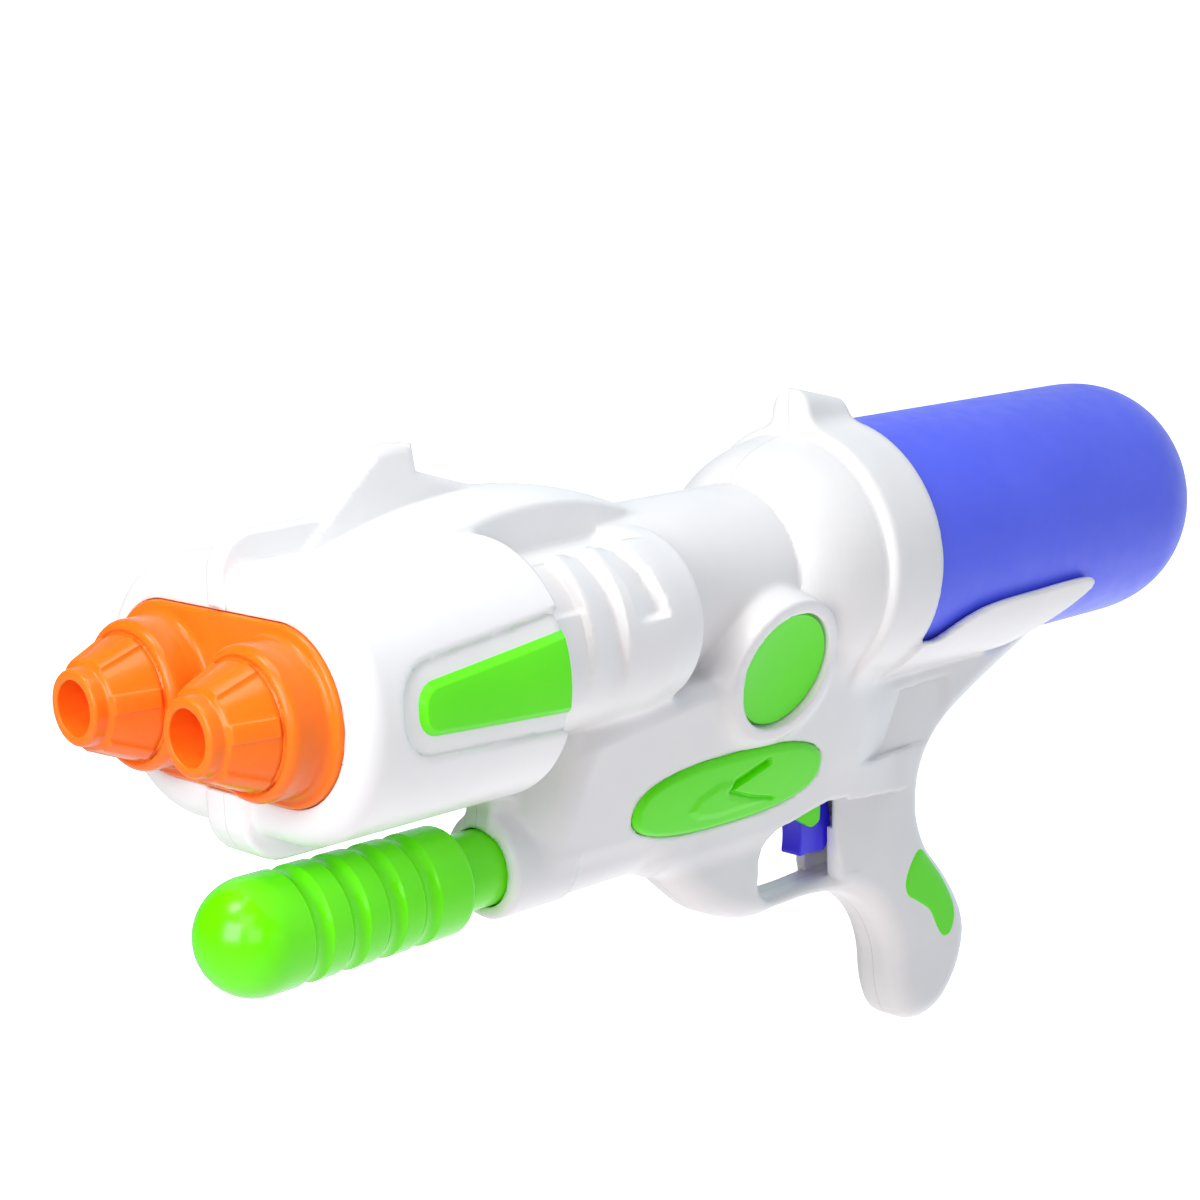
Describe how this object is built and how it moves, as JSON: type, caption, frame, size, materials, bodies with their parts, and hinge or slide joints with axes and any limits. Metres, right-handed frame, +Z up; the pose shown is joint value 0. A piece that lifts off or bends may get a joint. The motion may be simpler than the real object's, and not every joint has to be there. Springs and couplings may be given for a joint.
{
  "type": "pump water squirter",
  "caption": "Hand-held air-pressure water squirter with a turning rear tank, sliding pump grip, sprung trigger and twin orange nozzles on a white two-part body",
  "frame": {"origin": "middle of the hand grip, on the parting plane of the body", "axes": "+X runs to the muzzle, +Y to the squirter's left side, +Z up"},
  "size_m": [0.4785, 0.123, 0.2432],
  "materials": {
    "white_plastic": "moulded gloss white",
    "orange_plastic": "slightly translucent moulded orange",
    "blue_plastic": "blow-moulded satin blue",
    "deep_blue_plastic": "moulded deep blue",
    "green_gloss_plastic": "glossy moulded lime green",
    "green_plastic": "satin moulded lime green",
    "grey_plastic": "natural moulded inner plastic",
    "black_rubber": "soft sealing rubber",
    "clear_hose": "soft milky hose",
    "bright_steel": "plated steel",
    "brass_jet": "turned brass"
  },
  "bodies": {
    "body": {"body_left": "white_plastic", "body_right": "white_plastic", "nose_plate": "orange_plastic", "nozzle_left": "orange_plastic", "nozzle_right": "orange_plastic", "jet_left": "brass_jet", "jet_right": "brass_jet", "manifold": "grey_plastic", "tank_socket": "grey_plastic", "tank_gasket": "black_rubber", "pump_barrel": "grey_plastic", "check_valve": "grey_plastic", "trigger_pin": "bright_steel", "valve_body": "grey_plastic", "valve_spring": "bright_steel", "supply_hose": "clear_hose", "outlet_hose": "clear_hose", "air_hose": "clear_hose", "side_disc_left": "green_plastic", "side_disc_right": "green_plastic", "oval_insert_left": "green_plastic", "oval_insert_right": "green_plastic", "shroud_insert_left": "green_plastic", "shroud_insert_right": "green_plastic", "grip_insert_left": "green_plastic", "grip_insert_right": "green_plastic", "body_screws": "bright_steel"},
    "tank_body": {"tank": "blue_plastic"},
    "pump": {"pump_grip": "green_gloss_plastic", "pump_rod": "green_gloss_plastic", "piston": "grey_plastic", "piston_ring": "black_rubber"},
    "trigger_body": {"trigger": "deep_blue_plastic", "trigger_yoke": "green_plastic"},
    "plunger": {"valve_plunger": "bright_steel"}
  },
  "joints": [
    {"name": "tank_turn", "type": "hinge", "parent": "body", "child": "tank_body", "pos_m": [0.036, 0, 0.142], "axis": [1, 0, 0], "range_deg": [0, 540]},
    {"name": "pump_slide", "type": "slide", "parent": "body", "child": "pump", "axis": [1, 0, 0], "range_m": [-0.014, 0.05]},
    {"name": "trigger_pull", "type": "hinge", "parent": "body", "child": "trigger_body", "pos_m": [0.056, 0, 0.062], "axis": [0, 1, 0], "range_deg": [0, 14], "stiffness_Nm_per_rad": 0.6, "springref_deg": -20.05},
    {"name": "plunger_slide", "type": "slide", "parent": "body", "child": "plunger", "axis": [1, 0, 0], "range_m": [0, 0.004], "deforming": ["valve_spring"]}
  ],
  "couplings": [
    {"joint": "plunger_slide", "follows": "trigger_pull", "m_per_rad": 0.0145}
  ]
}
